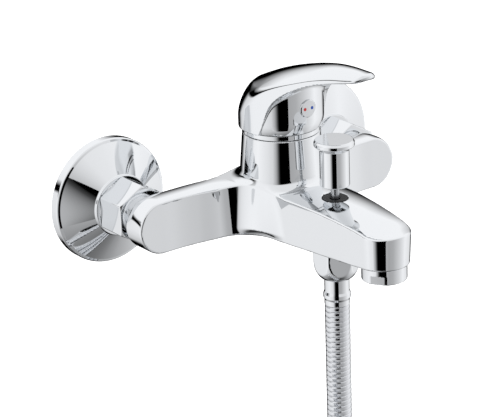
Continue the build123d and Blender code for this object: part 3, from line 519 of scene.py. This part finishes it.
# %% Escutcheons, unions and nuts
def escutcheon(side, word):
    """A pressed cup: rim, shoulder, cone and a short neck, hollow behind."""
    corners = [
        (34.8, 0.0, 0.0),
        (36.0, 0.0, 0.5),
        (36.0, 5.6, 1.1),
        (34.2, 6.3, 1.2),
        (17.4, 15.4, 0.6),
        (17.2, 16.9, 0.5),
        (14.8, 16.9, 0.3),
        (14.8, 14.6, 0.3),
        (16.4, 14.4, 0.5),
        (34.2, 4.4, 1.0),
        (34.8, 1.0, 0.3),
    ]
    piece = turned(f"escutcheon_{word}_skin", corners, (side * INLET_X, 0, 0), OUT, closed=True)
    fit(piece, f"escutcheon_{word}", chrome)


def hexagon(a, b, across):
    """Distance to a hexagon with this width across its flats, with slightly rounded corners."""
    rise = math.sqrt(3) / 2
    faces = [np.abs(a), np.abs(a) * 0.5 + np.abs(b) * rise]
    return common(faces[0] - across / 2, faces[1] - across / 2, 0.35)


def union_nut_field(centre_x):
    """A hexagon between two planes, its corners turned off to a cone at both ends."""

    def field(x, y, z):
        along = -y - 27.1
        prism = hexagon(x - centre_x, z, 30.0)
        turned_off = (np.hypot(x - centre_x, z) - 16.1 - 1.6 * (9.9 - np.abs(along))) / 1.9
        return common(common(prism, turned_off, 0.25), np.abs(along) - 9.9, 0.5)

    return field


def union_field(centre_x):
    """The crank piece: an offset wall pipe and a union pipe that overlap in a thick middle."""

    def field(x, y, z):
        wall = common(np.hypot(x - centre_x, z - 8.0) - 10.2, np.abs(y - 6.0) - 11.8, 0.6)
        front = common(np.hypot(x - centre_x, z) - 13.1, np.abs(y + 14.5) - 9.4, 0.6)
        bore = np.hypot(x - centre_x, z - 8.0 * np.clip((y + 12) / 12, 0, 1)) - 6.9
        return common(joined(wall, front, 1.5), -bore, 0.4)

    return field


def wall_thread(side, word):
    """The wall thread: radius = crest - depth * (1 + cos(2 pi * turn)) / 2 along a fine pitch."""
    rows, columns, pitch = 90, 72, 1.814
    y = np.linspace(1.5, 17.9, rows)
    t = np.linspace(0, 2 * math.pi, columns, endpoint=False)
    turn = y[:, None] / pitch + t[None] / (2 * math.pi)
    fade = np.clip((17.9 - y[:, None]) / 2.0, 0, 1)
    radius = 9.35 + 1.1 * fade * (1 + np.cos(2 * math.pi * turn)) / 2
    x = side * INLET_X + radius * np.cos(t)
    z = 8.0 + radius * np.sin(t)
    points = np.stack([x, np.broadcast_to(y[:, None], x.shape), z], axis=-1)
    piece = mesh_piece(f"wall_thread_{word}", points.reshape(-1, 3), grid_faces(rows, columns))
    piece.data.materials.append(brass)
    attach(piece, "mixer")


for side, word in ((-1, "left"), (1, "right")):
    x0 = side * INLET_X
    escutcheon(side, word)
    nut = cast(f"union_nut_{word}_skin", union_nut_field(x0), (x0 - 18, -37, -18), (x0 + 18, -17.2, 18), 0.7)
    fit(nut, f"union_nut_{word}", chrome)
    crank = cast(f"s_union_{word}_skin", union_field(x0), (x0 - 14, -24, -14), (x0 + 14, 18, 19), 0.8)
    fit(crank, f"s_union_{word}", chrome)
    wall_thread(side, word)


# %% [markdown]
# ## Body casting
#
# In plan the body is a bar with a tapered spout: two outlines joined by wide hollow corners. Its
# height comes from the bar's round ends and the spout's sloping top. The tower stands on it with a
# small hollow at its foot.

# %% Body
BAR_HALF_HEIGHT = 15.0
TOWER_TOP_Z = 39.6
GUIDE_HOLE_R = 7.2
GUIDE_HOLE_Z = 9.0


def bar_plan(x, y, z):
    """Distance in plan to the bar, whose front swells a little downwards and towards the middle."""
    across = np.abs(x)
    front = through(
        [(0, -60.0), (20, -59.5), (40, -58.2), (52, -56.4), (64, -55.3), (75, -55.1), (92, -55.0)], across
    )
    back = through([(0, -43.0), (13, -43.2), (30, -44.0), (48, -41.7), (65, -41.0), (92, -41.0)], across)
    front = front - 0.5 + (z - BAR_Z) / 30
    return common(front - y, y - back, 0.8)


def body_field(x, y, z):
    """Bar and spout in plan, cut to height, joined to the tower and the two inlet tails."""
    across = np.abs(x)
    spout = tapered_slot(x, y, TOWER_Y, 21.5, SPOUT_END_Y + 0.7, 15.4) + 1.3 * np.clip((13 - z) / 30, 0, 1)
    plan = joined(bar_plan(x, y, z), spout, 19.0)
    top = through(
        [(-170, 4.8), (-158, 6.2), (-148, 8.4), (-131, 10.8), (-115, 12.3), (-96, 13.2), (-80, 13.3),
         (-60, 13.2)],
        y,
    )
    crown = 2.0 * np.minimum(across / 15, 1.3) ** 2 * np.clip((-72 - y) / 20, 0, 1)
    bar_crown = (y + 48.5) ** 2 / 66 * np.clip((across - 28) / 12, 0, 1)
    low = BAR_Z - BAR_HALF_HEIGHT + 3.2 * np.clip((-84 - y) / 82, 0, 1)
    level = np.maximum(z - (top - crown - bar_crown), low - z)
    ends = np.hypot(np.maximum(across - INLET_X, 0), z - BAR_Z) - BAR_HALF_HEIGHT
    ends = ends + bar_crown * np.clip((z - BAR_Z) / 6, 0, 1)
    bar = common(plan, np.where(across > 60, ends, level), 1.0)
    wide = 21.8 + 0.085 * (TOWER_TOP_Z - z)
    column = np.hypot(x, y - TOWER_Y) - wide
    tower = common(common(column, z - TOWER_TOP_Z, 0.5), -12.0 - z, 0.5)
    tails = common(np.hypot(across - INLET_X, z) - 10.6, np.abs(y + 38.0) - 5.0, 0.5)
    whole = joined(joined(bar, tower, 5.0), tails, 1.2)
    hole = np.maximum(np.hypot(x, y - DIVERTER_Y) - GUIDE_HOLE_R, GUIDE_HOLE_Z - z)
    return common(whole, -hole, 0.25)


body = cast("body_skin", body_field, (-90, -167, -17), (90, -33, 40), 0.85)
fit(body, "body_casting", chrome)

# %% [markdown]
# ## Cover and lever
#
# A thin ring with a dome closes the tower, and the lever's hollow foot slides over the dome. The
# lever is a teardrop in plan, crowned above, hollowed below, and it grows out of a round foot.

# %% Cover
cover_corners = [
    (20.6, 39.9, 0.2),
    (21.8, 39.9, 0.35),
    (21.8, 42.6, 0.35),
    (21.55, 42.68, 0.0),
]
for angle in np.linspace(math.asin(21.4 / DOME_R), math.asin(13.3 / DOME_R), 12):
    cover_corners.append((DOME_R * math.sin(angle), PIVOT_Z + DOME_R * math.cos(angle), 0.0))
cover_corners += [(13.2, 49.4, 0.0), (13.2, 48.2, 0.2), (19.6, 43.6, 0.3), (19.6, 41.0, 0.3)]
cover = turned("cover_ring_skin", cover_corners, (0, TOWER_Y, 0), closed=True)
fit(cover, "cover_dome", chrome)


# %% Lever
LEVER_TIP_Y = -133.5
LEVER_TIP_R = 8.2


def lever_field(x, y, z):
    """A teardrop between its crowned top and hollow underside, joined to its round foot.

    Across the lever the top is a parabola: crest - (crest - edge) * (x / half width)^2. Its rim is a
    wide dome at the back of the foot and narrows to a crisp edge towards the tip.
    """
    plan = tapered_slot(x, y, TOWER_Y, 23.7, LEVER_TIP_Y, LEVER_TIP_R)
    half = through(
        [(-150, 8.2), (-134, 8.5), (-120, 11.8), (-100, 16.7), (-85, 20.4), (-75, 22.4), (-66, 23.6),
         (-54, 24.0), (-38, 24.0)],
        y,
    )
    edge = through(
        [(-150, 87.6), (-137, 86.6), (-128, 85.3), (-118, 83.2), (-109, 80.7), (-100, 77.6), (-92, 74.8),
         (-82, 71.2), (-74, 67.8), (-66, 64.2), (-57, 61.2), (-44, 58.0), (-38, 57.0)],
        y,
    )
    crest = through(
        [(-150, 88.6), (-138, 89.1), (-127, 89.2), (-114, 88.2), (-102, 85.9), (-86, 81.6), (-69, 75.8),
         (-56, 70.2), (-44, 64.4), (-38, 61.4)],
        y,
    )
    top = crest - (crest - edge) * np.minimum(np.abs(x) / half, 1.15) ** 2
    under = through(
        [(-150, 83.8), (-144, 83.6), (-138, 83.1), (-128, 82.0), (-118, 80.3), (-112, 78.8), (-105, 76.3),
         (-98.7, 73.4), (-92, 69.7), (-86, 65.4), (-81, 59.5), (-77, 50.0), (-72, 38.0)],
        y,
    )
    under = under + 2.0 * (1 - np.minimum(np.abs(x) / half, 1) ** 2) * np.clip((-84 - y) / 10, 0, 1)
    rim = through(
        [(-150, 1.9), (-134, 1.8), (-122, 1.2), (-86, 1.2), (-76, 2.4), (-66, 6.0), (-56, 11.0),
         (-46, 15.0), (-38, 16.0)],
        y,
    )
    shell = common(plan, (z - top) * 0.9, rim)
    flare = np.clip((49.5 - z) / 6.5, 0, 1)
    foot = np.hypot(x, y - TOWER_Y) - (23.8 - 1.4 * flare**2)
    lower = joined((under - z) * 0.8, foot, 1.2)
    lower_edge = through([(-150, 2.0), (-134, 1.8), (-120, 0.6), (-38, 0.5)], y)
    whole = common(common(shell, lower, lower_edge), 43.0 - z, 0.35)
    cavity = np.sqrt(x**2 + (y - TOWER_Y) ** 2 + (z - PIVOT_Z) ** 2) - CAVITY_R
    return common(whole, -cavity, 0.2)


lever = cast("lever_skin", lever_field, (-25, -143, 43), (25, -41, 90), 0.58)
fit(lever, "lever", chrome)

# %% Index cap and marks
CAP_Z = 57.5
cap_face = -TOWER_Y + 24.1
cap = turned(
    "index_cap_skin",
    [(0.02, 0.35, 0.0), (4.6, 0.2, 0.5), (5.25, -0.3, 0.4), (5.3, -2.4, 0.0), (0.02, -2.5, 0.0)],
    (0, -cap_face, CAP_Z),
    OUT,
    segments=56,
)
fit(cap, "index_cap", cap_plastic)
for x, word, paint in ((-2.4, "red", red_paint), (2.4, "blue", blue_paint)):
    mark = turned(
        f"index_mark_{word}_skin",
        [(0.02, 0.42, 0.0), (0.9, 0.4, 0.1), (0.95, 0.1, 0.0), (0.02, 0.0, 0.0)],
        (x, -cap_face, CAP_Z),
        OUT,
        segments=32,
    )
    fit(mark, f"index_mark_{word}", paint)

# %% [markdown]
# ## Diverter
#
# A knob on a thin stem lifts out of a black guide that lies flush in the spout's top.

# %% Diverter
knob = turned(
    "diverter_knob_skin",
    [
        (2.5, 20.4, 0.0),
        (2.6, 19.5, 0.2),
        (8.2, 19.4, 0.7),
        (8.2, 40.0, 0.5),
        (11.15, 42.4, 0.6),
        (11.15, 44.2, 0.6),
        (10.3, 45.5, 0.4),
        (0.02, 45.5, 0.0),
    ],
    (0, DIVERTER_Y, 0),
)
fit(knob, "diverter_knob", chrome)
stem = turned(
    "diverter_stem_skin",
    [(0.02, -5.0, 0.0), (2.4, -5.0, 0.2), (2.4, 33.0, 0.2), (0.02, 33.0, 0.0)],
    (0, DIVERTER_Y, 0),
    segments=40,
)
fit(stem, "diverter_stem", steel)
diverter_guide = turned(
    "diverter_guide_skin",
    [(2.75, 5.0, 0.0), (2.75, 11.6, 0.2), (3.4, 11.9, 0.2), (6.8, 11.95, 0.3), (7.12, 11.6, 0.1),
     (7.12, 5.0, 0.0)],
    (0, DIVERTER_Y, 0),
    segments=64,
)
fit(diverter_guide, "diverter_guide", black_plastic)


# %% [markdown]
# ## Hose nut, ferrule and end nut
#
# The hose nut is a hexagon whose lower end is turned to a dome. Below it the ferrule closes on the
# hose with a small bead.

# %% Hose fittings
HOSE_NUT_FLATS = 22.6


def hose_nut_field(x, y, z):
    """A hexagon inside a turned outline: a cylinder that closes in a dome at its lower end."""
    r = np.hypot(x, y - DIVERTER_Y)
    prism = hexagon(x, y - DIVERTER_Y, HOSE_NUT_FLATS)
    allowed = through(
        [(-36, 6.9), (-34.2, 8.3), (-33, 9.6), (-31.5, 10.7), (-29, 11.9), (-26, 12.5), (-14, 12.7)], z
    )
    top_chamfer = (r - 11.9 - 1.6 * (-16.4 - z)) / 1.9
    turned_off = np.maximum((r - allowed) * 0.9, top_chamfer)
    nut = common(common(prism, turned_off, 0.25), np.abs(z + 25.3) - 8.9, 0.4)
    return common(nut, 7.1 - r, 0.2)


hose_nut = cast("hose_nut_skin", hose_nut_field, (-13, -125, -35), (13, -98, -16), 0.55)
fit(hose_nut, "hose_nut", chrome)
ferrule = turned(
    "hose_ferrule_skin",
    [
        (4.4, -50.0, 0.0),
        (7.05, -50.0, 0.3),
        (7.05, -46.9, 0.3),
        (7.65, -45.6, 0.7),
        (7.65, -43.6, 0.7),
        (6.95, -42.0, 0.5),
        (6.95, -29.6, 0.0),
    ],
    (0, DIVERTER_Y, 0),
    segments=72,
)
fit(ferrule, "hose_ferrule", chrome)
outlet = turned(
    "shower_outlet_skin",
    [(8.6, -9.2, 0.0), (8.6, -16.3, 0.2), (10.4, -16.5, 0.3), (10.4, -25.4, 0.3), (7.7, -25.5, 0.2),
     (7.6, -9.2, 0.0)],
    (0, DIVERTER_Y, 0),
    closed=True,
    segments=72,
)
fit(outlet, "shower_outlet", chrome)

end_point = line[-1]
heading = np.array([-math.sin(final), 0.0, -math.cos(final)])
end_nut = turned(
    "hose_end_nut_skin",
    [
        (7.6, 0.3, 0.2),
        (8.4, 0.3, 0.3),
        (9.2, 10.0, 1.0),
        (11.7, 29.0, 0.8),
        (11.5, 29.9, 0.4),
        (9.4, 29.9, 0.3),
        (9.32, 21.2, 0.2),
        (7.4, 21.0, 0.2),
    ],
    end_point,
    heading,
    closed=True,
    segments=72,
)
fit(end_nut, "hose_end_nut", chrome)


# %% [markdown]
# ## Aerator
#
# The aerator's ring has two flats for a wrench, and its black insert breaks the water into drops with
# a fine grid.

# %% Aerator
def aerator_field(x, y, z):
    """A ring with two flats, a lip below and a bore."""
    across = 0.857 * x + 0.515 * (y - SPOUT_END_Y)
    r = np.hypot(x, y - SPOUT_END_Y)
    ring = common(r - 12.4, np.abs(z + 17.9) - 4.2, 0.5)
    flat_ring = np.where(z < -17.1, common(ring, np.abs(across) - 11.5, 0.3), ring)
    neck = common(r - 10.8, np.abs(z + 14.2) - 2.0, 0.1)
    whole = joined(flat_ring, neck, 0.2)
    return common(whole, np.where(z < -20.5, 8.1, 9.7) - r, 0.2)


aerator = cast("aerator_ring_skin", aerator_field, (-13, -165, -22.5), (13, -138, -12), 0.55)
fit(aerator, "aerator_housing", chrome)

# %% [markdown]
# ## Finishes of the inner pieces
#
# The pieces inside the faucet stay as the CAD made them and only take their finish.

# %% Inner pieces
finish_of_slot = {
    "chrome": chrome,
    "brass": brass,
    "steel": steel,
    "hose_steel": hose_metal,
    "ceramic": ceramic,
    "cartridge_plastic": grey_plastic,
    "black_plastic": black_plastic,
    "cap_plastic": cap_plastic,
    "mark_red": red_paint,
    "mark_blue": blue_paint,
    "seal_rubber": rubber,
    "fibre": fibre,
    "tie_plastic": tie_plastic,
}
for node, piece in frame["nodes"].items():
    if not piece.hide_render:
        piece.data.materials.clear()
        piece.data.materials.append(finish_of_slot[slot_of_node[node]])


# %% [markdown]
# ## Studio
#
# Polished chrome shows only what stands around it: a white room, soft boxes, and black cards that draw
# the dark lines along its forms. The cards are seen in reflections and not by the camera.

# %% Studio
FACING = np.array([-0.603, -0.798, 0.0])
SIDEWAYS = np.array([0.798, -0.603, 0.0])


floor_paint = finish_of("pale_floor_painted", "#f6f6f6", Roughness=0.9)
floor_paint.node_tree.nodes["Principled BSDF"].inputs["Emission Color"].default_value = linear("#ffffff")
floor_paint.node_tree.nodes["Principled BSDF"].inputs["Emission Strength"].default_value = 0.5
floor = mesh_piece(
    "floor",
    np.array([(-6000, -6000, -420), (6000, -6000, -420), (6000, 6000, -420), (-6000, 6000, -420)], float),
    np.array([[0, 1, 2, 3]]),
)
floor.data.materials.append(floor_paint)
floor.visible_glossy = False


def ramp(tree, source, stops):
    """Brightness that goes through (place, value) stops, 0 to 1 along the source."""
    node = add(tree, "ShaderNodeValToRGB")
    points = node.color_ramp.elements
    for place, value in stops[1:-1]:
        points.new(place)
    for point, (place, value) in zip(points, stops):
        point.position = place
        point.color = (value, value, value * 1.01, 1)
    tree.links.new(source, node.inputs["Fac"])
    return node.outputs["Color"]


def compute(tree, operation, *values):
    """A maths node whose inputs are numbers or other nodes' outputs."""
    node = add(tree, "ShaderNodeMath", operation=operation)
    for n, value in enumerate(values):
        if isinstance(value, (int, float)):
            node.inputs[n].default_value = value
        else:
            tree.links.new(value, node.inputs[n])
    return node.outputs[0]


def studio_room():
    """The room as a brightness for each direction.

    Round the faucet, at eye level and below, the room goes from a dark gap at the front through soft
    grey to white at both sides and ends in a dark wall behind. Above it is white, and straight down
    it is dark. A dark shelf runs along the left wall, a little above the horizon. Directions are
    measured from the front corner the bather stands at.
    """
    world = bpy.data.worlds.new("studio_room")
    bpy.context.scene.world = world
    world.use_nodes = True
    tree = world.node_tree
    place = add(tree, "ShaderNodeTexCoord")
    parts = add(tree, "ShaderNodeSeparateXYZ")
    tree.links.new(place.outputs["Generated"], parts.inputs[0])
    x, y, z = parts.outputs
    front = compute(tree, "ADD", compute(tree, "MULTIPLY", x, -0.603), compute(tree, "MULTIPLY", y, -0.798))
    right = compute(tree, "ADD", compute(tree, "MULTIPLY", x, 0.798), compute(tree, "MULTIPLY", y, -0.603))
    angle = compute(tree, "ARCTAN2", right, front)
    around = compute(tree, "MULTIPLY_ADD", angle, 0.5 / math.pi, 0.5)
    low = ramp(tree, around, [(turn / 360 + 0.5, value) for turn, value in LOW_ROOM])
    high = ramp(tree, around, [(turn / 360 + 0.5, value) for turn, value in HIGH_ROOM])
    height = compute(tree, "MULTIPLY_ADD", z, 0.5, 0.5)
    rise = ramp(tree, height, [(z / 2 + 0.5, value) for z, value in RISE])
    depth = ramp(tree, height, [(z / 2 + 0.5, value) for z, value in DEPTH])
    mixed = add(tree, "ShaderNodeMix", data_type="RGBA")
    tree.links.new(rise, mixed.inputs["Factor"])
    tree.links.new(low, mixed.inputs[6])
    tree.links.new(high, mixed.inputs[7])
    strip_turn = ramp(tree, around, [(turn / 360 + 0.5, value) for turn, value in STRIP_TURN])
    strip_rise = ramp(tree, height, [(z / 2 + 0.5, value) for z, value in STRIP_RISE])
    outside = compute(tree, "MAXIMUM", strip_turn, strip_rise)
    shade = compute(tree, "MULTIPLY", depth, outside)
    deep = add(tree, "ShaderNodeMix", data_type="RGBA", blend_type="MULTIPLY")
    deep.inputs["Factor"].default_value = 1.0
    tree.links.new(mixed.outputs[2], deep.inputs[6])
    tree.links.new(shade, deep.inputs[7])
    tree.links.new(deep.outputs[2], tree.nodes["Background"].inputs["Color"])
    tree.nodes["Background"].inputs["Strength"].default_value = 1.15


LOW_ROOM = [
    (-180, 0.0), (-146, 0.0), (-132, 0.7), (-105, 0.85), (-72, 0.95), (-40, 0.8), (0, 0.5), (20, 0.4),
    (40, 0.45), (74, 0.72), (100, 0.95), (138, 0.8), (152, 0.02), (180, 0.0),
]
HIGH_ROOM = [(-180, 0.95), (-60, 0.95), (-20, 0.8), (20, 0.8), (60, 0.85), (110, 0.95), (180, 0.95)]
RISE = [(-1, 0.0), (0.1, 0.0), (0.2, 0.25), (0.34, 0.7), (0.46, 1.0), (1, 1.0)]
DEPTH = [(-1, 0.05), (-0.95, 0.12), (-0.85, 0.45), (-0.7, 0.75), (-0.5, 0.95), (-0.3, 1.0), (1, 1.0)]
STRIP_TURN = [(-180, 1.0), (-160, 1.0), (-140, 0.0), (-80, 0.0), (-64, 1.0), (180, 1.0)]
STRIP_RISE = [(-1, 1.0), (0.05, 1.0), (0.1, 0.0), (0.2, 0.0), (0.3, 1.0), (1, 1.0)]
studio_room()


def black_card(distance, left, right, low, high, fade):
    """An upright black card in front of the faucet, in mm. Its left side fades to light grey."""
    corners = [(left - fade, low), (right, low), (right, high), (left - fade, high)]
    points = [FACING * distance + SIDEWAYS * across + np.array([0, 0, z]) for across, z in corners]
    piece = mesh_piece("black_card", np.array(points), np.array([[0, 1, 2, 3]]))
    material = bpy.data.materials.new("black_card_velvet")
    material.use_nodes = True
    tree = material.node_tree
    tree.nodes.clear()
    place = add(tree, "ShaderNodeTexCoord")
    parts = add(tree, "ShaderNodeSeparateXYZ")
    tree.links.new(place.outputs["Object"], parts.inputs[0])
    x, y, _ = parts.outputs
    across = compute(tree, "ADD", compute(tree, "MULTIPLY", x, 0.798), compute(tree, "MULTIPLY", y, -0.603))
    share = compute(tree, "MULTIPLY_ADD", across, 1000 / fade, 1 - left / fade)
    shade = ramp(tree, share, [(0.0, 0.8), (0.45, 0.5), (0.85, 0.06), (1.0, 0.0)])
    glow = add(tree, "ShaderNodeEmission", Strength=1.0)
    out = add(tree, "ShaderNodeOutputMaterial")
    tree.links.new(shade, glow.inputs["Color"])
    tree.links.new(glow.outputs["Emission"], out.inputs["Surface"])
    piece.data.materials.append(material)
    piece.visible_camera = False
    piece.visible_shadow = False
    piece.visible_diffuse = False


black_card(distance=280, left=12, right=112, low=-150, high=72, fade=80)
bpy.context.scene.view_settings.view_transform = "Standard"
